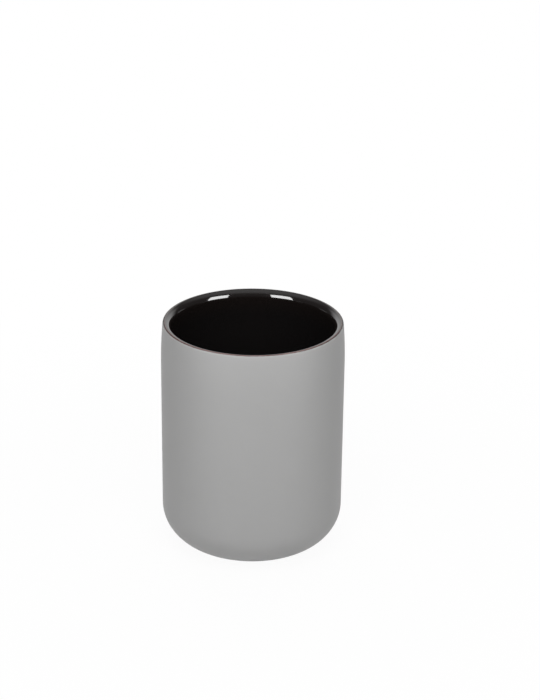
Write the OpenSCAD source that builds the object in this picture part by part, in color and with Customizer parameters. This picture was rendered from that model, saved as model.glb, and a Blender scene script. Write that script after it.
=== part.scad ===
// Ceramic bathroom tumbler: a cast stoneware cup with a glazed inside and lip, a rubbery
// coat outside, and anti-slip pads in the recess under the base.
// Millimetres, +Z up. The origin is on the cup's axis at the surface that the pads stand on.

/* [Outside] */
// Outside diameter across the coated wall
outer_d = 80; // [68:1:96]
// Height from the standing surface to the top of the lip
cup_h = 103.5; // [85:0.5:125]
// Rounding between the wall and the base
base_corner_r = 16.5; // [9:0.5:20]
// Height of the stretch below the lip that draws in
draw_h = 18; // [8:1:30]
// How far the wall draws in at the lip
lip_draw = 0.8; // [0.2:0.1:2]

/* [Wall] */
// Thickness of the finished wall, with coat and glaze
wall_t = 4.1; // [3:0.1:5]
// Thickness of the floor above the foot ring, with its glaze
floor_t = 4.5; // [3:0.1:7]
// Rounding of the lip's outer shoulder
shoulder_r = 1; // [0.8:0.1:1.3]
// How far the rounding of the lip's inner edge reaches across the lip
inner_edge_w = 2.8; // [1:0.1:3]
// How far down the inside that rounding reaches
inner_edge_h = 3.5; // [1:0.1:4.5]

/* [Coat and glaze] */
// Thickness of the coat on the outside
coat_t = 0.2; // [0.1:0.05:0.4]
// How far the coat reaches in over the lip, seen from above
coat_wrap = 0.8; // [0.5:0.1:1.6]
// Thickness of the glaze on the inside and the lip
glaze_t = 0.35; // [0.2:0.05:0.6]

/* [Base] */
// Width of the bare foot ring
foot_w = 4; // [2.5:0.5:6]
// Depth of the recess inside the foot ring
recess_h = 1.4; // [0.8:0.1:2]
// Rounding of the ring's inner edge and of the recess corner
foot_edge_r = 0.5; // [0.2:0.1:0.7]

/* [Pads] */
// Number of pads
pad_count = 4; // [3:1:6]
// Diameter of a pad
pad_d = 8; // [5:0.5:9]
// How far a pad stands out below the foot ring
pad_proud = 0.6; // [0.3:0.1:1.2]
// Gap between a pad and the wall of the recess
pad_inset = 1; // [0.6:0.1:2]
// Rounding of a pad's lower edge
pad_edge_r = 0.8; // [0.2:0.1:1]

/* [Hidden] */
$fn = 128;

// Straight steps in each round stretch of an outline
corner_steps = 14;
draw_steps = 5;
lip_steps = 8;
edge_steps = 4;
// Points closer together than this are one point
merge_gap = 0.001;

// The lip's shoulder takes at most this share of the wall, a ring rounding this share of the
// recess depth, and a pad's rounding this share of its thickness
shoulder_share = 0.38;
ring_round_share = 0.4;
pad_round_share = 0.5;
shoulder = min(shoulder_r, wall_t * shoulder_share);
ring_edge = min(foot_edge_r, recess_h * ring_round_share);

outer_r = outer_d / 2;
inner_r = outer_r - wall_t;
foot_z = pad_proud;
floor_z = foot_z + floor_t;
recess_z = foot_z + recess_h;
pad_t = pad_proud + recess_h;
pad_edge = min(pad_edge_r, pad_t * pad_round_share);

// The outside corner turns about corner_c. The inside one keeps the thicker of wall and
// floor all round it and turns about floor_c.
foot_r = outer_r - base_corner_r;
corner_c = [foot_r, foot_z + base_corner_r];
inner_corner_r = base_corner_r - max(wall_t, floor_t);
floor_c = [inner_r - inner_corner_r, floor_z + inner_corner_r];
recess_r = foot_r - foot_w;
pad_ring_r = recess_r - pad_inset - pad_d / 2;

// Below the lip the wall bends inward on one large arc about draw_c, from draw_z up, until
// it leans by the angle lean and meets the shoulder.
lean = 2 * atan(lip_draw / draw_h);
draw_r = draw_h / sin(lean);
draw_z = cup_h - shoulder * (1 - sin(lean)) - draw_h;
draw_c = [outer_r - draw_r, draw_z];
shoulder_c = draw_c + (draw_r - shoulder) * [cos(lean), sin(lean)];

// The inside wall runs parallel to the outside, so its arc has the same centre. The lip's
// inner edge is part of an oval about edge_c, and is at most as wide as what the leaning
// shoulder leaves of the wall.
inner_edge = min(inner_edge_w, wall_t - shoulder * (1 - tan(lean)) - inner_edge_h * tan(lean));
inner_draw_r = draw_r - wall_t;
edge_z = cup_h - inner_edge_h;
edge_c = [draw_c.x + (inner_draw_r + inner_edge) * cos(edge_lean(0)), edge_z];

// Coat and glaze meet on the lip at this radius.
join_r = outer_r - lip_draw - coat_wrap;
join_reach = max(join_r - shoulder_c.x, 0);

function oval(centre, half_w, half_h, from, to, steps) =
    [for (i = [0:steps]) let (a = from + (to - from) * i / steps)
        centre + [half_w * cos(a), half_h * sin(a)]];
function arc(centre, radius, from, to, steps) = oval(centre, radius, radius, from, to, steps);
function reversed(points) = [for (i = [len(points) - 1:-1:0]) points[i]];
function merged(points) =
    [for (i = [0:len(points) - 1])
        if (i == 0 || norm(points[i] - points[max(i - 1, 0)]) > merge_gap) points[i]];

// Angle on the shoulder where coat and glaze meet, at a depth below the finished surface
function join_angle(depth) = acos(join_reach / (shoulder - depth));
// The point on top of the lip where they meet, which the shoulder reaches or stops short of
function join_point(depth) =
    join_reach > 0 ? shoulder_c + (shoulder - depth) * [cos(join_angle(depth)), sin(join_angle(depth))]
                   : [join_r, cup_h - depth];

// Where the inside wall meets the oval, both lean by this angle. The oval's radius of
// curvature at its side is its half height squared over its half width.
function edge_lean(depth) =
    asin((edge_z - draw_z) / (inner_draw_r + depth + edge_side_r(inner_edge - depth, inner_edge_h - depth)));
function edge_side_r(half_w, half_h) = half_h * half_h / half_w;
// The oval's own angle at that point
function edge_end(depth) =
    180 + atan((inner_edge_h - depth) / (inner_edge - depth) * tan(edge_lean(depth)));

// The outside from the foot ring up to where the coat ends, at a depth below the surface
function outside(depth) = merged(concat(
    arc(corner_c, base_corner_r - depth, -90, 0, corner_steps),
    arc(draw_c, draw_r - depth, 0, lean, draw_steps),
    arc(shoulder_c, shoulder - depth, lean, join_angle(depth), lip_steps),
    [join_point(depth)]));

// The lip and the inside from there down to the middle of the floor, at a depth below them
function inside(depth) = merged(concat(
    [join_point(depth)],
    join_reach > 0 ? arc(shoulder_c, shoulder - depth, join_angle(depth), 90, edge_steps) : [],
    oval(edge_c, inner_edge - depth, inner_edge_h - depth, 90, edge_end(depth), lip_steps),
    arc(draw_c, inner_draw_r + depth, edge_lean(depth), 0, draw_steps),
    arc(floor_c, inner_corner_r + depth, 0, -90, corner_steps),
    [[0, floor_z - depth]]));

// The underside from the middle of the recess out to the edge of the foot ring
function underside() = merged(concat(
    [[0, recess_z]],
    arc([recess_r - ring_edge, recess_z - ring_edge], ring_edge, 90, 0, edge_steps),
    arc([recess_r + ring_edge, foot_z + ring_edge], ring_edge, 180, 270, edge_steps),
    [[foot_r, foot_z]]));

// Bare stoneware cup: wall, floor and foot ring
module ceramic_body() {
    color([0.84, 0.81, 0.75])
        rotate_extrude()
            polygon(merged(concat(outside(coat_t), inside(glaze_t), underside())));
}

// Matt grey coat on the whole outside, over the lip's shoulder
module soft_touch_coat() {
    color([0.64, 0.64, 0.645])
        rotate_extrude()
            polygon(concat(outside(0), reversed(outside(coat_t))));
}

// Black gloss glaze on the lip, the inside wall and the floor
module inner_glaze() {
    color([0.03, 0.028, 0.03])
        rotate_extrude()
            polygon(concat(inside(0), reversed(inside(glaze_t))));
}

// One round pad with a rounded lower edge, standing at z = 0
module pad() {
    pad_r = pad_d / 2;
    rotate_extrude()
        polygon(concat(
            [[0, 0]],
            arc([pad_r - pad_edge, pad_edge], pad_edge, -90, 0, edge_steps),
            [[pad_r, pad_t], [0, pad_t]]));
}

// Pads on a circle, stuck to the ceiling of the recess
module foot_pads() {
    color([0.80, 0.81, 0.82])
        for (i = [0:pad_count - 1])
            rotate([0, 0, 360 * i / pad_count])
                translate([pad_ring_r, 0, 0])
                    pad();
}

ceramic_body();
soft_touch_coat();
inner_glaze();
foot_pads();
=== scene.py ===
"""The looks of a coated ceramic bathroom tumbler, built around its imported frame.

Everything is in metres and in the frame's own axes: +Z up along the cup's axis, with the
origin on the surface that the pads stand on. The camera stands on the side of -Y, which is
called the front. The cup's layers are surfaces of revolution. Each is worked out on a grid
of turns round the axis and steps along an outline, and the main sizes of the outline are
read from the frame.
"""

import logging
import math
from dataclasses import dataclass
from enum import Enum
from functools import cached_property
from typing import Any

import bpy
import numpy as np
from mathutils import Matrix, Vector


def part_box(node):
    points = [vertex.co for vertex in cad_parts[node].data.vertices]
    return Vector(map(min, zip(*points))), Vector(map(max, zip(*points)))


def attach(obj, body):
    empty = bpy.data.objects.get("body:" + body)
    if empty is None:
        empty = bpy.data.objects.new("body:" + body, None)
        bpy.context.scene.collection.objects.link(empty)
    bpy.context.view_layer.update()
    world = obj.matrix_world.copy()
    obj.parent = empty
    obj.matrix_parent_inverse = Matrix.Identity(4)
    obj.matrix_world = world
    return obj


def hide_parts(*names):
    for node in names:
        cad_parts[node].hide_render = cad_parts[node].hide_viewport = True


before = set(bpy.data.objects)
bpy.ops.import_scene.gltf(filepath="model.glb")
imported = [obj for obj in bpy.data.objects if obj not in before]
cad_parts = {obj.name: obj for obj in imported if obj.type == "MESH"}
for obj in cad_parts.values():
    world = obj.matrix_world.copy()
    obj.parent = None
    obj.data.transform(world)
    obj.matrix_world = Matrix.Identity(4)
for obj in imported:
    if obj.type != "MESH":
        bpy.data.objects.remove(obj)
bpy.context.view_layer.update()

LOG = logging.getLogger("tumbler")
BODY = "root"
MM = 0.001
QUARTER_TURN = math.pi / 2

# A point is a radius and a height. A fade is where a step is 0 and where it is 1. An angle
# is one number or a column with one for each turn. A solid is its vertices and the corners
# of each of its faces.
Colour = tuple[float, float, float]
Point = tuple[float, float]
Fade = tuple[float, float]
Angle = float | np.ndarray
Solid = tuple[np.ndarray, list[list[int]]]
Socket = bpy.types.NodeSocket

BLACK: Colour = (0.0, 0.0, 0.0)
WHITE: Colour = (1.0, 1.0, 1.0)
# Depths below the top of the lip between which the looks of its edge fade in
LIP_FADE: Fade = (2 * MM, 1 * MM)
# Faces that meet at a larger angle than this have a sharp edge between them
SHARP_ANGLE = math.radians(40.0)
# How strong each octave of noise is, as a share of the one before it
NOISE_ROUGHNESS = 0.55
# The colour sockets of a Mix node, whose names its other sockets share
MIX_FACTOR, MIX_FIRST, MIX_SECOND, MIX_RESULT = 0, 6, 7, 2


class Ends(Enum):
    """How an outline that is turned into a solid closes on itself."""

    LOOP = "the last point joins the first"
    ON_AXIS = "the first and last points lie on the axis"


class Role(Enum):
    """What a softbox does for the picture."""

    SHADING = "lights matt surfaces and is left out of reflections"
    HIGHLIGHT = "shows in reflections alone"


class Term:
    """A number in a node tree. Arithmetic on it adds Math nodes."""

    def __init__(self, tree: "NodeTree", socket: Socket) -> None:
        """Keeps the tree and the socket that gives the number."""
        self.tree = tree
        self.socket = socket

    def _math(self, operation: str, *operands: "Term | float") -> "Term":
        """Adds one Math node.

        Args:
            operation: the Math node's operation.
            operands: terms or numbers, in the node's order.

        Returns:
            The node's result.
        """
        inputs = dict(enumerate(operands))
        node = self.tree.node("ShaderNodeMath", {"operation": operation}, inputs)
        return Term(self.tree, node.outputs[0])

    def __add__(self, other: "Term | float") -> "Term":
        """Gives self + other."""
        return self._math("ADD", self, other)

    __radd__ = __add__

    def __sub__(self, other: "Term | float") -> "Term":
        """Gives self - other."""
        return self._math("SUBTRACT", self, other)

    def __rsub__(self, other: "Term | float") -> "Term":
        """Gives other - self."""
        return self._math("SUBTRACT", other, self)

    def __mul__(self, other: "Term | float") -> "Term":
        """Gives self * other."""
        return self._math("MULTIPLY", self, other)

    __rmul__ = __mul__

    def __truediv__(self, other: "Term | float") -> "Term":
        """Gives self / other."""
        return self._math("DIVIDE", self, other)

    def root(self) -> "Term":
        """Gives the square root."""
        return self._math("SQRT", self)

    def sine(self) -> "Term":
        """Gives the sine of an angle in radians."""
        return self._math("SINE", self)

    def larger(self, other: "Term | float") -> "Term":
        """Gives the larger of self and other."""
        return self._math("MAXIMUM", self, other)

    def step(self, low: float, high: float) -> "Term":
        """Rises smoothly from 0 to 1.

        Args:
            low: the value at which the result is 0.
            high: the value at which the result is 1. It may be less than low.

        Returns:
            A number from 0 to 1.
        """
        if low > high:
            return 1.0 - self.step(high, low)
        settings = {"interpolation_type": "SMOOTHSTEP"}
        inputs = {"Value": self, "From Min": low, "From Max": high}
        node = self.tree.node("ShaderNodeMapRange", settings, inputs)
        return Term(self.tree, node.outputs[0])


class NodeTree:
    """The nodes of a material or of the world, and the few ways in which they are written."""

    def __init__(self, owner: bpy.types.Material | bpy.types.World) -> None:
        """Empties the owner's tree and starts afresh.

        Args:
            owner: the material or world.
        """
        owner.use_nodes = True
        self.tree = owner.node_tree
        self.tree.nodes.clear()

    def node(self, kind: str, settings: dict[str, Any],
             inputs: dict[str | int, Any]) -> bpy.types.Node:
        """Adds a node.

        Args:
            kind: the node's type.
            settings: its own properties, which are set first.
            inputs: socket name or number to a value, a socket or a term.

        Returns:
            The new node.
        """
        made = self.tree.nodes.new(kind)
        for name, setting in settings.items():
            setattr(made, name, setting)
        for key, given in inputs.items():
            source = given.socket if isinstance(given, Term) else given
            if isinstance(source, Socket):
                self.tree.links.new(source, made.inputs[key])
            else:
                made.inputs[key].default_value = source
        return made

    def place(self) -> Socket:
        """Gives the object's own coordinates, in metres."""
        return self.node("ShaderNodeTexCoord", {}, {}).outputs["Object"]

    def axes(self, vector: Socket) -> tuple[Term, ...]:
        """Splits a vector into its X, Y and Z."""
        split = self.node("ShaderNodeSeparateXYZ", {}, {0: vector})
        return tuple(Term(self, part) for part in split.outputs)

    def radius(self) -> Term:
        """Gives the distance from the axis, the root of x squared plus y squared."""
        x, y, _ = self.axes(self.place())
        return (x * x + y * y).root()

    def height(self) -> Term:
        """Gives the height above the surface that the cup stands on."""
        return self.axes(self.place())[2]

    def front(self, reach: float) -> Term:
        """Gives 1 at the front, reach metres from the axis, and 0 from the sides on."""
        return (self.axes(self.place())[1] * (-1.0 / reach)).larger(0.0)

    def on_lip(self, lip_z: float) -> Term:
        """Gives 1 on the lip, whose top lies at the height lip_z, and 0 further down."""
        return self.height().step(lip_z - LIP_FADE[0], lip_z - LIP_FADE[1])

    def seen(self) -> Term:
        """Tells what the camera sees from what only gives light.

        Returns:
            1 for what it sees straight, in a gloss or through glass, and 0 for the rest.
        """
        path = self.node("ShaderNodeLightPath", {}, {}).outputs
        kinds = ("Camera", "Glossy", "Transmission")
        straight, gloss, glass = (Term(self, path[f"Is {kind} Ray"]) for kind in kinds)
        return straight.larger(gloss).larger(glass)

    def noise(self, size: float, detail: float = 2.0) -> Term:
        """Gives cloudy noise about 0.5.

        Args:
            size: the width of one cloud, in metres.
            detail: octaves of finer noise on top.

        Returns:
            The noise, from 0 to 1.
        """
        inputs = {"Vector": self.place(), "Scale": 1.0 / size, "Detail": detail,
                  "Roughness": NOISE_ROUGHNESS}
        return Term(self, self.node("ShaderNodeTexNoise", {}, inputs).outputs[0])

    def specks(self, size: float, share: float) -> Term:
        """Gives round specks, one in the middle of each cell of a Voronoi pattern.

        Args:
            size: the width of a cell, in metres.
            share: the speck's radius as a share of the cell's width. Its outer half fades.

        Returns:
            1 on a speck and 0 between them.
        """
        inputs = {"Vector": self.place(), "Scale": 1.0 / size}
        cells = self.node("ShaderNodeTexVoronoi", {}, inputs)
        return Term(self, cells.outputs["Distance"]).step(share, 0.5 * share)

    def mix(self, factor: Term, first: Colour | Socket, second: Colour | Socket) -> Socket:
        """Mixes two colours.

        Args:
            factor: the share of the second.
            first: the colour at factor 0.
            second: the colour at factor 1.

        Returns:
            The mixed colour.
        """
        full = [(*one, 1.0) if isinstance(one, tuple) else one for one in (first, second)]
        inputs = {MIX_FACTOR: factor, MIX_FIRST: full[0], MIX_SECOND: full[1]}
        return self.node("ShaderNodeMix", {"data_type": "RGBA"}, inputs).outputs[MIX_RESULT]

    def bump(self, height: Term, depth: float, under: Socket | None = None) -> Socket:
        """Turns a height into a normal.

        Args:
            height: the height, as a share of depth.
            depth: what a height of 1 stands for, in metres.
            under: a normal that the height lies on.

        Returns:
            The bumped normal.
        """
        inputs = {"Strength": 1.0, "Distance": depth, "Height": height}
        if under is not None:
            inputs["Normal"] = under
        return self.node("ShaderNodeBump", {}, inputs).outputs[0]

    def finish(self, inputs: dict[str | int, Any]) -> None:
        """Closes a surface material with one Principled shader that has these inputs."""
        shader = self.node("ShaderNodeBsdfPrincipled", {}, inputs)
        self.node("ShaderNodeOutputMaterial", {}, {"Surface": shader.outputs[0]})


@dataclass(frozen=True)
class SoftTouchFinish:
    """Sprayed rubbery coat: matt neutral grey with a very fine grain and a faint sheen.

    Over the lip's shoulder, next to its edge, a painted shade darkens it, with a warm tint
    that is redder at the front. At the front the painted shade starts nearer to the edge.
    """

    # Radius of the coat's edge, and height of the lip's top
    edge_r: float
    lip_z: float
    # Full and a little worn, then the painted shade by the coat's edge, at the sides and at the
    # front
    colour: Colour = (0.386, 0.385, 0.384)
    worn: Colour = (0.366, 0.364, 0.363)
    painted_edge_shade: Colour = (0.030, 0.025, 0.024)
    painted_edge_shade_front: Colour = (0.060, 0.019, 0.017)
    # How far outside its edge the painted shade starts and where it is full, and how much nearer
    # to the edge it lies at the front
    painted_shade_fade: Fade = (0.62 * MM, 0.36 * MM)
    painted_shade_front_shift: float = 0.16 * MM
    # Length and width of the waves in the line where the painted shade starts
    ragged: float = 1.2 * MM
    ragged_w: float = 0.3 * MM
    # Clouds in tone and gloss, paint peel, and grain with its share in the tone
    cloud: float = 14 * MM
    peel: float = 1.1 * MM
    peel_depth: float = 0.004 * MM
    grain: float = 0.22 * MM
    grain_depth: float = 0.006 * MM
    grain_share: float = 0.3
    roughness: float = 0.62
    roughness_spread: float = 0.08
    sheen: float = 0.12
    sheen_roughness: float = 0.5
    specular: float = 0.4

    def material(self) -> bpy.types.Material:
        """Makes the coat's material.

        Returns:
            The material, with clouds in its tone and gloss, paint peel, grain and a painted shade
            by its edge.
        """
        made = bpy.data.materials.new("soft_touch_grey")
        tree = NodeTree(made)
        front = tree.front(self.edge_r)
        # Painted shade: a darker, warm colour on the coat's shoulder next to its edge, where the
        # shoulder turns up to the lip
        ragged = (tree.noise(self.ragged) - 0.5) * self.ragged_w
        drift = ragged + front * front * self.painted_shade_front_shift
        outer, inner = (self.edge_r + aside for aside in self.painted_shade_fade)
        painted_shade_mask = (tree.radius() + drift).step(outer, inner) * tree.on_lip(self.lip_z)
        cloud = tree.noise(self.cloud, detail=3.0)
        grain = tree.noise(self.grain, detail=1.0)
        peel = tree.noise(self.peel, detail=1.0)
        tone = cloud * (1.0 - self.grain_share) + grain * self.grain_share
        full = tree.mix(tone, self.worn, self.colour)
        # The painted shade's colour, redder towards the front
        painted_edge_shade = tree.mix(front, self.painted_edge_shade, self.painted_edge_shade_front)
        smoothest = self.roughness - 0.5 * self.roughness_spread
        tree.finish({
            "Base Color": tree.mix(painted_shade_mask, full, painted_edge_shade),
            "Roughness": cloud * self.roughness_spread + smoothest,
            "Normal": tree.bump(grain, self.grain_depth, tree.bump(peel, self.peel_depth)),
            "Sheen Weight": self.sheen,
            "Sheen Roughness": self.sheen_roughness,
            "Specular IOR Level": self.specular,
        })
        return made


@dataclass(frozen=True)
class BlackGlazeFinish:
    """Black gloss glaze, a little warmer high up inside, where it has run thinner.

    It breaks to brown at the edge of the lip, and to a redder brown at the front.
    """

    # Radius of the glaze's edge, and height of the lip's top
    edge_r: float
    lip_z: float
    # Full and run thin, then broken at the sides and broken at the front
    black: Colour = (0.0084, 0.0075, 0.0075)
    warm: Colour = (0.0118, 0.0092, 0.0084)
    brown: Colour = (0.085, 0.052, 0.044)
    red_brown: Colour = (0.16, 0.044, 0.034)
    # Depths below the lip's top between which the glaze gets warmer
    warm_fade: Fade = (12 * MM, 3 * MM)
    # Width of the broken band, and length of the waves in its inner side
    break_w: float = 0.55 * MM
    ragged: float = 2.4 * MM
    # Peel, and the broad pools in which it dried
    peel: float = 2.6 * MM
    peel_depth: float = 0.004 * MM
    pool: float = 11 * MM
    pool_depth: float = 0.03 * MM
    roughness: float = 0.05
    pool_roughness: float = 0.03
    break_roughness: float = 0.22
    ior: float = 1.85

    def material(self) -> bpy.types.Material:
        """Makes the glaze's material.

        Returns:
            The material, with its warmer run, its brown break and a slightly uneven gloss.
        """
        made = bpy.data.materials.new("black_gloss_glaze")
        tree = NodeTree(made)
        ragged = (tree.noise(self.ragged) - 0.5) * self.break_w
        near_edge = (tree.radius() + ragged).step(self.edge_r - self.break_w, self.edge_r)
        breaking = near_edge * tree.on_lip(self.lip_z)
        run = tree.height().step(*(self.lip_z - depth for depth in self.warm_fade))
        pool = tree.noise(self.pool)
        peel = tree.noise(self.peel, detail=1.0)
        glaze = tree.mix(run, self.black, self.warm)
        broken = tree.mix(tree.front(self.edge_r), self.brown, self.red_brown)
        uneven = self.pool_roughness * pool + self.break_roughness * breaking
        tree.finish({
            "Base Color": tree.mix(breaking, glaze, broken),
            "Roughness": self.roughness + uneven,
            "Normal": tree.bump(peel, self.peel_depth, tree.bump(pool, self.pool_depth)),
            "IOR": self.ior,
        })
        return made


@dataclass(frozen=True)
class StonewareFinish:
    """Bare fired stoneware: pale and dry, with iron specks and the marks of a sponged foot."""

    clay: Colour = (0.62, 0.56, 0.46)
    shade: Colour = (0.50, 0.44, 0.35)
    iron: Colour = (0.12, 0.075, 0.045)
    # Clouds in the tone, and sand with its share in the tone
    cloud: float = 6 * MM
    sand: float = 0.35 * MM
    sand_depth: float = 0.05 * MM
    sand_share: float = 0.3
    # Spacing and depth of the sponge's rings, and radians by which the clouds push them
    mark_w: float = 0.7 * MM
    mark_depth: float = 0.012 * MM
    mark_drift: float = 4.0
    # Iron specks: their cells, their radius in them, the patches where they show, strength
    speck_cell: float = 2.2 * MM
    speck_share: float = 0.16
    speck_patch: float = 1.3 * MM
    patch_fade: Fade = (0.45, 0.6)
    speck_strength: float = 0.85
    roughness: float = 0.82
    sand_roughness: float = 0.12
    specular: float = 0.3

    def material(self) -> bpy.types.Material:
        """Makes the bare clay's material.

        Returns:
            The material, with clouds, specks, sandy grain and rings round the axis.
        """
        made = bpy.data.materials.new("bare_stoneware")
        tree = NodeTree(made)
        cloud = tree.noise(self.cloud, detail=4.0)
        sand = tree.noise(self.sand, detail=3.0)
        rings = (tree.radius() * (math.tau / self.mark_w) + cloud * self.mark_drift).sine()
        patches = tree.noise(self.speck_patch).step(*self.patch_fade)
        specks = tree.specks(self.speck_cell, self.speck_share) * patches
        tone = cloud * (1.0 - self.sand_share) + sand * self.sand_share
        body = tree.mix(tone, self.shade, self.clay)
        tree.finish({
            "Base Color": tree.mix(specks * self.speck_strength, body, self.iron),
            "Roughness": self.roughness + self.sand_roughness * sand,
            "Normal": tree.bump(sand, self.sand_depth, tree.bump(rings, self.mark_depth)),
            "Specular IOR Level": self.specular,
        })
        return made


@dataclass(frozen=True)
class PadFinish:
    """Milky clear elastomer, dusty and matt where it meets the shelf."""

    colour: Colour = (0.74, 0.76, 0.77)
    dusty: Colour = (0.60, 0.60, 0.585)
    # Dust: how high up it reaches, the size of its patches, and where they start in the noise
    dust_h: float = 0.35 * MM
    dust_patch: float = 1.5 * MM
    patch_fade: Fade = (0.3, 0.7)
    dust_roughness: float = 0.3
    grain: float = 0.3 * MM
    grain_depth: float = 0.01 * MM
    roughness: float = 0.32
    # How milky it is, and how far light gets in it
    milkiness: float = 0.4
    milk_depth: float = 2 * MM
    gloss: float = 0.2

    def material(self) -> bpy.types.Material:
        """Makes the pads' material.

        Returns:
            The material, dustier and rougher at the face that stands on the shelf.
        """
        made = bpy.data.materials.new("milky_elastomer")
        tree = NodeTree(made)
        patches = tree.noise(self.dust_patch, detail=3.0).step(*self.patch_fade)
        dust = tree.height().step(self.dust_h, 0.0) * patches
        tree.finish({
            "Base Color": tree.mix(dust, self.colour, self.dusty),
            "Roughness": self.roughness + self.dust_roughness * dust,
            "Normal": tree.bump(tree.noise(self.grain), self.grain_depth),
            "Subsurface Weight": self.milkiness,
            "Subsurface Radius": (self.milk_depth,) * 3,
            "Coat Weight": self.gloss,
        })
        return made


def oval(centre: Point, across: float, upright: float, start: Angle, stop: Angle,
         count: int) -> np.ndarray:
    """Points along part of an oval: centre plus (across times cos a, upright times sin a).

    Args:
        centre: the oval's centre.
        across: half of its width.
        upright: half of its height.
        start: the first angle in radians.
        stop: the last angle in radians.
        count: how many points there are.

    Returns:
        The points, with (radius, height) on the last axis.
    """
    angle = start + (stop - start) * np.linspace(0.0, 1.0, count)
    r = centre[0] + across * np.cos(angle)
    z = centre[1] + upright * np.sin(angle)
    return np.stack([r, z], axis=-1)


def arc(centre: Point, radius: float, start: Angle, stop: Angle, count: int) -> np.ndarray:
    """Points evenly spaced along an arc, which is an oval as wide as it is high."""
    return oval(centre, radius, radius, start, stop, count)


def line(start: Point | np.ndarray, stop: Point | np.ndarray, count: int = 2) -> np.ndarray:
    """Points evenly spaced along a line: start plus a rising share of stop minus start.

    Args:
        start: the first point, or an array with one for each turn.
        stop: the last point, in the same way.
        count: how many points there are.

    Returns:
        The points, with (radius, height) on the last axis.
    """
    share = np.linspace(0.0, 1.0, count)[:, None]
    first = np.asarray(start)[..., None, :]
    return first + (np.asarray(stop)[..., None, :] - first) * share


def chain(turns: int, *stretches: np.ndarray) -> np.ndarray:
    """Joins stretches of an outline, each of which starts where the one before it ends.

    Args:
        turns: how many turns the grid has.
        stretches: points shared by all turns, or one row of points for each turn.

    Returns:
        One row of points for each turn, without the repeated ends.
    """
    wide = [np.broadcast_to(one, (turns, *one.shape[-2:])) for one in stretches]
    joined = [wide[0], *(one[:, 1:] for one in wide[1:])]
    return np.concatenate(joined, axis=1)


def turned(outline: np.ndarray, ends: Ends) -> Solid:
    """Turns an outline round the axis: (r, z) at turn a goes to (r cos a, r sin a, z).

    The outline runs so that its solid lies on its left, which makes the faces point outwards.
    An end on the axis becomes one vertex with a fan of triangles.

    Args:
        outline: radius and height for each turn and step, of shape (turns, steps, 2).
        ends: how the outline closes.

    Returns:
        The solid.
    """
    turns, steps = outline.shape[:2]
    angle = np.linspace(0.0, math.tau, turns, endpoint=False)[:, None]
    r, z = outline[..., 0], outline[..., 1]
    grid = np.stack([r * np.cos(angle), r * np.sin(angle), z], axis=-1)
    if ends is Ends.ON_AXIS:
        grid = grid[:, 1:-1]
        steps -= 2
    index = np.arange(turns * steps).reshape(turns, steps)
    after = np.roll(index, -1, axis=0)
    if ends is Ends.LOOP:
        index = np.concatenate([index, index[:, :1]], axis=1)
        after = np.concatenate([after, after[:, :1]], axis=1)
    quads = np.stack([index[:, :-1], after[:, :-1], after[:, 1:], index[:, 1:]], axis=-1)
    points, faces = grid.reshape(-1, 3), quads.reshape(-1, 4).tolist()
    if ends is Ends.ON_AXIS:
        low, high = len(points), len(points) + 1
        poles = [[0.0, 0.0, outline[0, 0, 1]], [0.0, 0.0, outline[0, -1, 1]]]
        points = np.concatenate([points, poles])
        first = np.stack([np.full(turns, low), after[:, 0], index[:, 0]], axis=-1)
        last = np.stack([np.full(turns, high), index[:, -1], after[:, -1]], axis=-1)
        faces += first.tolist() + last.tolist()
    return points, faces


def placed(name: str, data: bpy.types.ID) -> bpy.types.Object:
    """Makes an object and puts it in the scene.

    Args:
        name: its name.
        data: its mesh, lamp or camera.

    Returns:
        The new object.
    """
    made = bpy.data.objects.new(name, data)
    bpy.context.scene.collection.objects.link(made)
    return made


def add_piece(name: str, solid: Solid, finish: bpy.types.Material, node: str) -> bpy.types.Object:
    """Makes a smooth-shaded object that stands for a CAD node.

    Args:
        name: the object's name.
        solid: its shape, in place.
        finish: its material.
        node: the CAD node that it replaces.

    Returns:
        The new object, which rides on the part's one body.
    """
    points, faces = solid
    mesh = bpy.data.meshes.new(name)
    mesh.from_pydata(points.tolist(), [], faces)
    mesh.polygons.foreach_set("use_smooth", np.ones(len(faces), dtype=bool))
    mesh.set_sharp_from_angle(angle=SHARP_ANGLE)
    mesh.materials.append(finish)
    mesh.update()
    piece = placed(name, mesh)
    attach(piece, BODY)
    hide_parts(node)
    LOG.info("%s: %d points, %d faces", name, len(points), len(faces))
    return piece


@dataclass(frozen=True)
class Steps:
    """How many points each stretch of the cup's outline has, both ends counted."""

    recess: int = 10
    ring_edge: int = 7
    ring_side: int = 3
    foot: int = 8
    corner: int = 26
    wall: int = 18
    draw: int = 10
    shoulder: int = 14
    bead: int = 6
    lip_edge: int = 6
    lip_top: int = 3
    inner_edge: int = 24
    inner_wall: int = 30
    inner_corner: int = 20
    floor: int = 14


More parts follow.
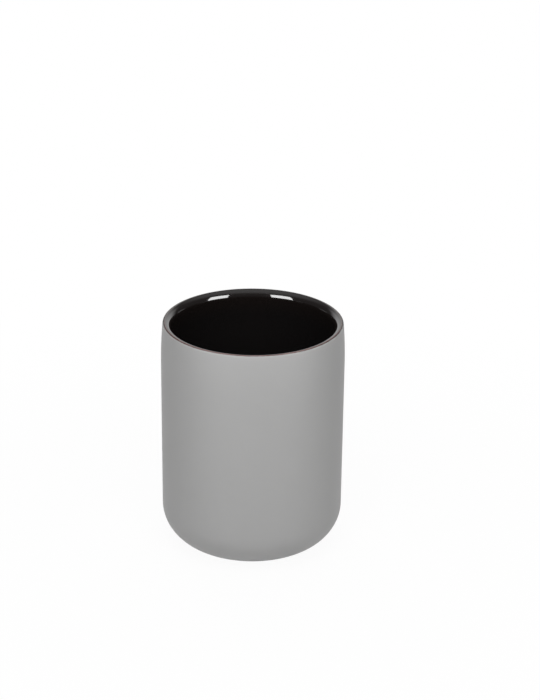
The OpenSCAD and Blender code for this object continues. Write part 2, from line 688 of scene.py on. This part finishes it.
@dataclass(frozen=True)
class CupForm:
    """The outline that the cup's layers share, from the foot ring over the lip to the floor.

    The wall bends inward below the lip on one large arc that leans by the angle lean where it
    meets the shoulder. The inside runs parallel, so it has the same centre. The lip's inner
    edge is about a quarter of an oval. The line on the lip where coat and glaze meet wavers,
    and its circle lies off the axis. The rim has settled a little at the front.
    """

    # Read from the frame
    outer_r: float
    top_z: float
    foot_z: float
    recess_z: float
    floor_z: float
    coat_t: float
    glaze_t: float
    join_r: float
    # The part's other sizes
    wall_t: float = 4.1 * MM
    corner_r: float = 16.5 * MM
    draw_h: float = 18 * MM
    lip_draw: float = 0.8 * MM
    shoulder_r: float = 1.0 * MM
    inner_edge_w: float = 2.8 * MM
    inner_edge_h: float = 3.5 * MM
    foot_w: float = 4 * MM
    # How far the line on the lip wavers and lies off the axis. Each of its waves is how often
    # it goes round and its phase.
    waver: float = 0.035 * MM
    waver_waves: tuple[tuple[int, float], ...] = ((3, 0.4), (7, 2.1), (11, 5.0), (23, 1.3))
    off_axis: float = 0.09 * MM
    off_axis_angle: float = math.radians(-105.0)
    # How far the rim has settled at the front, and the height of the stretch that gave way
    settling: float = 0.15 * MM
    settling_h: float = 18 * MM
    turns: int = 288
    steps: Steps = Steps()

    @classmethod
    def from_frame(cls) -> "CupForm":
        """Reads the main sizes from the boxes of the CAD nodes.

        The boxes of faceted round solids are a little narrower along one axis, and the
        narrower size is taken, so that the cup stays inside them.

        Returns:
            The cup's outline.
        """
        coat_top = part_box("soft_touch_coat")[1]
        body_low, body_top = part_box("ceramic_body")
        glaze_low, glaze_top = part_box("inner_glaze")
        glaze_t = glaze_top[2] - body_top[2]
        return cls(
            outer_r=min(coat_top[:2]),
            top_z=glaze_top[2],
            foot_z=body_low[2],
            recess_z=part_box("foot_pads")[1][2],
            floor_z=glaze_low[2] + glaze_t,
            coat_t=coat_top[0] - body_top[0],
            glaze_t=glaze_t,
            join_r=min(glaze_top[:2]),
        )

    @cached_property
    def lean(self) -> float:
        """How far the outside leans at the shoulder: twice the arctangent of draw over height."""
        return 2.0 * math.atan(self.lip_draw / self.draw_h)

    @cached_property
    def draw_r(self) -> float:
        """Radius of the large arc: its height divided by the sine of the lean."""
        return self.draw_h / math.sin(self.lean)

    @cached_property
    def draw_c(self) -> Point:
        """Centre of the large arc, level with its lower end."""
        z = self.top_z - self.shoulder_r * (1.0 - math.sin(self.lean)) - self.draw_h
        return self.outer_r - self.draw_r, z

    @cached_property
    def shoulder_c(self) -> Point:
        """Centre of the shoulder, on the line from the large arc's centre to its upper end."""
        aside = (self.draw_r - self.shoulder_r) * math.cos(self.lean)
        return self.draw_c[0] + aside, self.top_z - self.shoulder_r

    @cached_property
    def edge_c(self) -> Point:
        """Centre of the oval that rounds the lip's inner edge."""
        aside = (self.draw_r - self.wall_t + self.inner_edge_w) * math.cos(self.inside_lean(0.0))
        return self.draw_c[0] + aside, self.top_z - self.inner_edge_h

    @cached_property
    def inner_r(self) -> float:
        """Radius of the inside wall."""
        return self.outer_r - self.wall_t

    @cached_property
    def inner_corner_r(self) -> float:
        """Rounding between inside wall and floor, which keeps the thicker of the two round it."""
        return self.corner_r - max(self.wall_t, self.floor_z - self.foot_z)

    @cached_property
    def floor_c(self) -> Point:
        """Centre of the rounding between inside wall and floor."""
        return self.inner_r - self.inner_corner_r, self.floor_z + self.inner_corner_r

    @cached_property
    def foot_r(self) -> float:
        """Outer radius of the foot ring."""
        return self.outer_r - self.corner_r

    @cached_property
    def corner_c(self) -> Point:
        """Centre of the rounding between wall and foot ring."""
        return self.foot_r, self.foot_z + self.corner_r

    @cached_property
    def angles(self) -> np.ndarray:
        """The turns round the axis as a column of angles."""
        return np.linspace(0.0, math.tau, self.turns, endpoint=False)[:, None]

    @cached_property
    def join_angle(self) -> np.ndarray:
        """The angle on the shoulder where coat and glaze meet.

        Its cosine is the join's radius less the shoulder centre's, divided by the shoulder's
        radius. The join's radius wavers by waver times the mean of its waves, and leans to
        one side by a cosine of the turn.

        Returns:
            A column with one angle for each turn.
        """
        waves = [np.sin(count * self.angles + phase) for count, phase in self.waver_waves]
        wavering = self.waver * np.mean(waves, axis=0)
        aside = self.off_axis * np.cos(self.angles - self.off_axis_angle)
        return np.arccos((self.join_r + wavering + aside - self.shoulder_c[0]) / self.shoulder_r)

    def inside_lean(self, depth: float) -> float:
        """Works out how far the inside leans where it meets the oval of the lip's inner edge.

        There both have the same slope, so the sine of the lean is the rise of the oval's
        centre above the large arc's, divided by the sum of the inside's radius and the oval's
        radius of curvature, which is its half height squared divided by its half width.

        Args:
            depth: how far the surface lies below the finished one.

        Returns:
            The lean in radians.
        """
        rise = self.top_z - self.inner_edge_h - self.draw_c[1]
        curvature_r = (self.inner_edge_h - depth) ** 2 / (self.inner_edge_w - depth)
        return math.asin(rise / (self.draw_r - self.wall_t + depth + curvature_r))

    def settled(self, outline: np.ndarray) -> np.ndarray:
        """Lets the rim settle at the front, as a fired rim that isn't quite level.

        The height drops by settling, times the cube of half of (1 minus the sine of the
        turn), which is 1 at the front and 0 at the back, times a share that rises smoothly
        from 0 at settling_h below the lip to 1 at the lip.

        Args:
            outline: one row of points for each turn.

        Returns:
            The settled outline.
        """
        front = ((1.0 - np.sin(self.angles)) / 2.0) ** 3
        z = outline[..., 1]
        share = np.clip(1.0 - (self.top_z - z) / self.settling_h, 0.0, 1.0)
        drop = self.settling * front * share**2 * (3.0 - 2.0 * share)
        return np.stack([outline[..., 0], z - drop], axis=-1)

    def bead(self, turn: np.ndarray, bead_r: float, start: float, stop: float) -> np.ndarray:
        """The rounded end of a layer: a small arc that touches the shoulder from within.

        Args:
            turn: the shoulder's angle where it touches, a column with one for each turn.
            bead_r: its radius, which is also how deep its centre lies.
            start: its first angle, counted from turn.
            stop: its last angle, in the same way.

        Returns:
            One row of points for each turn.
        """
        centre = arc(self.shoulder_c, self.shoulder_r - bead_r, turn, turn, 1)
        rounding = arc((0.0, 0.0), bead_r, turn + start, turn + stop, self.steps.bead)
        return centre + rounding

    def outside(self, depth: float, stop: np.ndarray) -> np.ndarray:
        """The outside from the foot ring up to the shoulder: corner, wall, lean and shoulder.

        Args:
            depth: how far it lies below the finished surface.
            stop: the shoulder's angle at which it ends, a column with one for each turn.

        Returns:
            One row of points for each turn.
        """
        steps = self.steps
        wall_r = self.outer_r - depth
        return chain(
            self.turns,
            arc(self.corner_c, self.corner_r - depth, -QUARTER_TURN, 0.0, steps.corner),
            line((wall_r, self.corner_c[1]), (wall_r, self.draw_c[1]), steps.wall),
            arc(self.draw_c, self.draw_r - depth, 0.0, self.lean, steps.draw),
            arc(self.shoulder_c, self.shoulder_r - depth, self.lean, stop, steps.shoulder),
        )

    def inside(self, depth: float, start: np.ndarray) -> np.ndarray:
        """The lip and the inside down to the middle of the floor.

        Args:
            depth: how far it lies below the finished surface.
            start: the shoulder's angle at which it starts, a column with one for each turn.

        Returns:
            One row of points for each turn.
        """
        steps = self.steps
        top_z = self.top_z - depth
        floor_z = self.floor_z - depth
        wall_r = self.inner_r + depth
        draw_r = self.draw_r - self.wall_t + depth
        corner_r = self.inner_corner_r + depth
        across = self.inner_edge_w - depth
        upright = self.inner_edge_h - depth
        lean = self.inside_lean(depth)
        stop = math.pi + math.atan(upright / across * math.tan(lean))
        return chain(
            self.turns,
            arc(self.shoulder_c, self.shoulder_r - depth, start, QUARTER_TURN, steps.lip_edge),
            line((self.shoulder_c[0], top_z), (self.edge_c[0], top_z), steps.lip_top),
            oval(self.edge_c, across, upright, QUARTER_TURN, stop, steps.inner_edge),
            arc(self.draw_c, draw_r, lean, 0.0, steps.draw),
            line((wall_r, self.draw_c[1]), (wall_r, self.floor_c[1]), steps.inner_wall),
            arc(self.floor_c, corner_r, 0.0, -QUARTER_TURN, steps.inner_corner),
            line((self.floor_c[0], floor_z), (0.0, floor_z), steps.floor),
        )


@dataclass(frozen=True)
class SoftTouchCoat:
    """The grey coat: a thinly laid skin on the whole outside that ends in a rounded edge on the
    lip.
    """

    form: CupForm
    finish: SoftTouchFinish
    bead_r: float = 0.11 * MM

    def build(self) -> bpy.types.Object:
        """Makes the coat as a closed loop: up the outside, round its edge and down its back.

        Returns:
            The coat.
        """
        form = self.form
        touch = form.join_angle - self.bead_r / form.shoulder_r
        face = form.outside(0.0, touch)
        bead = form.bead(touch, self.bead_r, 0.0, QUARTER_TURN)
        back = form.outside(form.coat_t, form.join_angle)[:, ::-1]
        outline = chain(form.turns, face, bead, line(bead[:, -1], back[:, 0]), back)
        solid = turned(form.settled(outline), Ends.LOOP)
        return add_piece("soft_touch_coat_skin", solid, self.finish.material(),
                         "soft_touch_coat")


@dataclass(frozen=True)
class InnerGlaze:
    """The black glaze: a skin over the lip and inside, rounded where it meets the coat."""

    form: CupForm
    finish: BlackGlazeFinish
    bead_r: float = 0.13 * MM
    ripple: float = 0.012 * MM
    # Share, times round the wall, twist and phase of each wave in the ripple
    ripple_waves: tuple[tuple[float, ...], ...] = ((0.6, 5.0, 1.0, 0.0), (0.4, 9.0, -1.7, 1.0))
    # Height in which a wave twists by one radian, and depth below the lip at which it is full
    twist_h: float = 9 * MM
    calm_h: float = 4 * MM
    dish: float = 0.12 * MM

    def rippled(self, outline: np.ndarray) -> np.ndarray:
        """Lets the finished surface ripple a little, as poured glaze does.

        The radius changes by ripple times the sum of waves that twist round the wall, faded
        out over the lip and towards the axis. The floor sinks by dish at its middle.

        Args:
            outline: the finished surface, one row of points for each turn.

        Returns:
            The rippled surface.
        """
        form = self.form
        r, z = outline[..., 0], outline[..., 1]
        twist = z / self.twist_h
        wave = sum(share * np.sin(count * form.angles + bend * twist + phase)
                   for share, count, bend, phase in self.ripple_waves)
        below_lip = np.clip((form.top_z - z) / self.calm_h, 0.0, 1.0)
        from_axis = np.clip(r / form.inner_r, 0.0, 1.0)
        bowl = np.clip(1.0 - (r / form.floor_c[0]) ** 2, 0.0, 1.0)
        on_floor = z < form.floor_c[1]
        return np.stack([
            r + self.ripple * wave * below_lip * from_axis**2,
            z - self.dish * bowl * on_floor,
        ], axis=-1)

    def build(self) -> bpy.types.Object:
        """Makes the glaze: out under the floor, up behind the wall, over the lip and back down.

        Returns:
            The glaze.
        """
        form = self.form
        touch = form.join_angle + self.bead_r / form.shoulder_r
        back = form.inside(form.glaze_t, form.join_angle)[:, ::-1]
        bead = form.bead(touch, self.bead_r, -QUARTER_TURN, 0.0)
        face = self.rippled(form.inside(0.0, touch))
        outline = chain(form.turns, back, line(back[:, -1], bead[:, 0]), bead, face)
        solid = turned(form.settled(outline), Ends.ON_AXIS)
        return add_piece("inner_glaze_skin", solid, self.finish.material(),
                         "inner_glaze")


@dataclass(frozen=True)
class CeramicBody:
    """The fired cup under its layers: bare on the foot ring and in the recess under the base."""

    form: CupForm
    finish: StonewareFinish = StonewareFinish()
    ring_edge_r: float = 0.5 * MM

    def underside(self) -> np.ndarray:
        """The recess, its rounded corner and the foot ring, from the axis outwards.

        Returns:
            The points, shared by all turns.
        """
        form = self.form
        steps = form.steps
        edge = self.ring_edge_r
        recess_r = form.foot_r - form.foot_w
        cove = (recess_r - edge, form.recess_z - edge)
        ring = (recess_r + edge, form.foot_z + edge)
        return chain(
            1,
            line((0.0, form.recess_z), (cove[0], form.recess_z), steps.recess),
            arc(cove, edge, QUARTER_TURN, 0.0, steps.ring_edge),
            line((recess_r, cove[1]), (recess_r, ring[1]), steps.ring_side),
            arc(ring, edge, math.pi, 3 * QUARTER_TURN, steps.ring_edge),
            line((ring[0], form.foot_z), (form.foot_r, form.foot_z), steps.foot),
        )[0]

    def build(self) -> bpy.types.Object:
        """Makes the body: out across the underside, up the outside and down the inside.

        Returns:
            The body.
        """
        form = self.form
        under = self.underside()
        outer = form.outside(form.coat_t, form.join_angle)
        inner = form.inside(form.glaze_t, form.join_angle)
        outline = chain(form.turns, under, line(under[-1], outer[0, 0]), outer,
                        line(outer[:, -1], inner[:, 0]), inner)
        solid = turned(form.settled(outline), Ends.ON_AXIS)
        return add_piece("stoneware_cup", solid, self.finish.material(),
                         "ceramic_body")


@dataclass(frozen=True)
class FootPads:
    """Round anti-slip pads on a circle, stuck to the ceiling of the recess."""

    ring_r: float
    height: float
    pad_r: float = 4 * MM
    # Rounding of the lower edge, and what share of it the upper edge has
    edge_r: float = 0.8 * MM
    top_edge_share: float = 0.25
    count: int = 4
    turns: int = 72
    # Points of each stretch of a pad's outline
    flat_steps: int = 6
    edge_steps: int = 10
    side_steps: int = 3
    top_edge_steps: int = 5
    finish: PadFinish = PadFinish()

    @classmethod
    def from_frame(cls) -> "FootPads":
        """Reads the pads' circle and height from the box of their CAD node."""
        low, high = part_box("foot_pads")
        return cls(ring_r=high[0] - cls.pad_r, height=high[2] - low[2])

    def build(self) -> bpy.types.Object:
        """Makes one pad from its outline and repeats it round the axis.

        The outline is flat below, rounded at the lower edge, upright at the side and drawn
        in slightly at the top, where the adhesive holds it.

        Returns:
            The pads as one object.
        """
        flat_r = self.pad_r - self.edge_r
        top_edge_r = self.top_edge_share * self.edge_r
        top_flat_r = self.pad_r - top_edge_r
        side_top = self.height - top_edge_r
        outline = chain(
            self.turns,
            line((0.0, 0.0), (flat_r, 0.0), self.flat_steps),
            arc((flat_r, self.edge_r), self.edge_r, -QUARTER_TURN, 0.0, self.edge_steps),
            line((self.pad_r, self.edge_r), (self.pad_r, side_top), self.side_steps),
            arc((top_flat_r, side_top), top_edge_r, 0.0, QUARTER_TURN, self.top_edge_steps),
            line((top_flat_r, self.height), (0.0, self.height), self.flat_steps),
        )
        points, faces = turned(outline, Ends.ON_AXIS)
        all_points, all_faces = [], []
        for number in range(self.count):
            angle = math.tau * number / self.count
            offset = (self.ring_r * math.cos(angle), self.ring_r * math.sin(angle), 0.0)
            first = number * len(points)
            all_faces += [[first + corner for corner in face] for face in faces]
            all_points.append(points + offset)
        solid = (np.concatenate(all_points), all_faces)
        return add_piece("anti_slip_pads", solid, self.finish.material(), "foot_pads")


@dataclass(frozen=True)
class Softbox:
    """A rectangular lamp that faces the cup. One for highlights stands upright."""

    name: str
    role: Role
    azimuth_deg: float
    elevation_deg: float
    distance: float
    size: tuple[float, float]
    radiance: float

    def build(self, target: Vector) -> None:
        """Adds the lamp.

        It stands at the azimuth from the camera's side, positive to the right, and at the
        elevation, both seen from the target. Its power is pi times its area times radiance.

        Args:
            target: the point that it faces.
        """
        wide, tall = self.size
        data = bpy.data.lights.new(self.name, "AREA")
        data.shape = "RECTANGLE"
        data.size = wide
        data.size_y = tall
        data.energy = self.radiance * math.pi * wide * tall
        azimuth = math.radians(self.azimuth_deg)
        elevation = math.radians(self.elevation_deg)
        side = math.sin(azimuth) * math.cos(elevation)
        depth = -math.cos(azimuth) * math.cos(elevation)
        away = Vector((side, depth, math.sin(elevation)))
        facing = Vector((side, depth, 0.0)) if self.role is Role.HIGHLIGHT else away
        made = placed(self.name, data)
        made.matrix_world = facing.to_track_quat("Z", "Y").to_matrix().to_4x4()
        made.location = target + away * self.distance
        made.visible_glossy = self.role is Role.HIGHLIGHT
        made.visible_diffuse = self.role is Role.SHADING


@dataclass(frozen=True)
class Studio:
    """The pale floor, the softboxes, the room round them and the camera."""

    cup_middle_z: float
    # The camera fitted to the photograph. Its distance and elevation are seen from the cup's
    # middle, and the three turns are about its own axes.
    image_h_px: float = 700.0
    sensor_w_mm: float = 36.0
    focal_px: float = 1897.0
    clip_start: float = 0.01
    camera_distance: float = 0.84
    camera_elevation: float = math.radians(25.384)
    camera_yaw: float = math.radians(-0.515)
    camera_pitch: float = math.radians(2.387)
    camera_roll: float = math.radians(-0.408)
    # The white sheet behind the cup: how it fades to its sides, to its top and to the front.
    # A direction's share to the side is its X divided by its Y, which is least_depth or more.
    sheet_side_fade: Fade = (1.25, 0.45)
    sheet_top_fade: Fade = (0.62, 0.33)
    sheet_front_fade: Fade = (0.0, 0.1)
    least_depth: float = 0.001
    # The room above and round it, and the soft light from its ceiling
    dark_room: Colour = (0.06, 0.06, 0.062)
    ceiling: Colour = (0.42, 0.42, 0.425)
    ceiling_fade: Fade = (0.50, 0.98)
    ambient: Colour = (0.7, 0.7, 0.7)
    ambient_fade: Fade = (0.6, 0.95)
    # The floor: its matt colour keeps the shadow, and its white glow, which the camera sees,
    # is weaker near the cup, so that a trace of the shadow shows
    floor_half: float = 3.0
    floor_colour: Colour = (0.82, 0.82, 0.82)
    glow_near_cup: float = 0.95
    glow_fade: Fade = (0.06, 0.30)
    # Name, role, azimuth, elevation, distance, width and height, and radiance. Two keys and a
    # top lamp shade the front, two more the back, and two strips show in the glaze.
    softboxes: tuple[Softbox, ...] = (
        Softbox("key_right", Role.SHADING, 28.0, 35.0, 0.60, (0.30, 0.30), 2.5),
        Softbox("key_left", Role.SHADING, -28.0, 35.0, 0.60, (0.30, 0.30), 2.85),
        Softbox("key_top", Role.SHADING, 0.0, 60.0, 0.38, (0.20, 0.20), 4.7),
        Softbox("back_right", Role.SHADING, 158.0, 35.0, 0.60, (0.30, 0.30), 3.2),
        Softbox("back_left", Role.SHADING, -158.0, 35.0, 0.60, (0.30, 0.30), 3.2),
        Softbox("strip_right", Role.HIGHLIGHT, 51.7, 18.8, 0.74, (0.38, 0.57), 8.2),
        Softbox("strip_left", Role.HIGHLIGHT, -41.3, 18.8, 0.74, (0.40, 0.57), 8.2),
    )

    def camera(self, target: Vector) -> None:
        """Sets the camera at the photograph's angle.

        It stands in front of the cup, at the elevation, and looks at the target. Then it
        turns about its own up, right and forward axes by yaw, pitch and roll.

        Args:
            target: the cup's middle.
        """
        data = bpy.data.cameras.new("camera")
        data.sensor_width = self.sensor_w_mm
        data.lens = self.focal_px * self.sensor_w_mm / self.image_h_px
        data.clip_start = self.clip_start
        level = Matrix.Rotation(QUARTER_TURN - self.camera_elevation, 3, "X")
        yaw = Matrix.Rotation(self.camera_yaw, 3, "Y")
        pitch = Matrix.Rotation(self.camera_pitch, 3, "X")
        roll = Matrix.Rotation(-self.camera_roll, 3, "Z")
        pose = (level @ yaw @ pitch @ roll).to_4x4()
        pose.translation = target + level.col[2] * self.camera_distance
        made = placed("camera", data)
        made.matrix_world = pose
        bpy.context.scene.camera = made

    def room(self) -> None:
        """Lights the room.

        What shows and is reflected is a white sheet behind the cup, which fades out towards
        its sides and its top, in a dark room whose ceiling is grey. Matt surfaces get a soft
        light from the ceiling alone.
        """
        world = bpy.data.worlds.new("room")
        bpy.context.scene.world = world
        tree = NodeTree(world)
        direction = tree.node("ShaderNodeTexCoord", {}, {}).outputs["Generated"]
        side, depth, height = tree.axes(direction)
        across = (side * side).root() / depth.larger(self.least_depth)
        on_sheet = across.step(*self.sheet_side_fade) * height.step(*self.sheet_top_fade)
        on_sheet = on_sheet * depth.step(*self.sheet_front_fade)
        upper = tree.mix(height.step(*self.ceiling_fade), self.dark_room, self.ceiling)
        picture = tree.mix(on_sheet, upper, WHITE)
        light = tree.mix(height.step(*self.ambient_fade), BLACK, self.ambient)
        glow = tree.mix(tree.seen(), light, picture)
        shader = tree.node("ShaderNodeBackground", {}, {"Color": glow, "Strength": 1.0})
        tree.node("ShaderNodeOutputWorld", {}, {"Surface": shader.outputs[0]})

    def floor(self) -> None:
        """Lays the white floor, which glows to the camera and keeps a soft shadow."""
        half = self.floor_half
        mesh = bpy.data.meshes.new("floor")
        corners = [(-half, -half, 0.0), (half, -half, 0.0), (half, half, 0.0), (-half, half, 0.0)]
        mesh.from_pydata(corners, [], [(0, 1, 2, 3)])
        material = bpy.data.materials.new("white_floor")
        tree = NodeTree(material)
        matt = tree.node("ShaderNodeBsdfDiffuse", {}, {"Color": (*self.floor_colour, 1.0)})
        glow = tree.node("ShaderNodeEmission", {}, {"Color": (*WHITE, 1.0), "Strength": 1.0})
        away = tree.radius().step(*self.glow_fade)
        share = tree.seen() * (self.glow_near_cup + (1.0 - self.glow_near_cup) * away)
        parts = {0: share, 1: matt.outputs[0], 2: glow.outputs[0]}
        shader = tree.node("ShaderNodeMixShader", {}, parts)
        tree.node("ShaderNodeOutputMaterial", {}, {"Surface": shader.outputs[0]})
        mesh.materials.append(material)
        made = placed("floor", mesh)

    def build(self) -> None:
        """Sets the camera, the softboxes, the room and the floor."""
        middle = Vector((0.0, 0.0, self.cup_middle_z))
        self.camera(middle)
        for softbox in self.softboxes:
            softbox.build(middle)
        self.room()
        self.floor()
        bpy.context.scene.view_settings.view_transform = "Standard"


def main() -> None:
    """Builds the cup's pieces in order, then the studio."""
    logging.basicConfig(level=logging.INFO, format="%(message)s")
    form = CupForm.from_frame()
    CeramicBody(form).build()
    InnerGlaze(form, BlackGlazeFinish(form.join_r, form.top_z)).build()
    SoftTouchCoat(form, SoftTouchFinish(form.join_r, form.top_z)).build()
    FootPads.from_frame().build()
    Studio(cup_middle_z=form.top_z / 2).build()


if __name__ == "__main__":
    main()
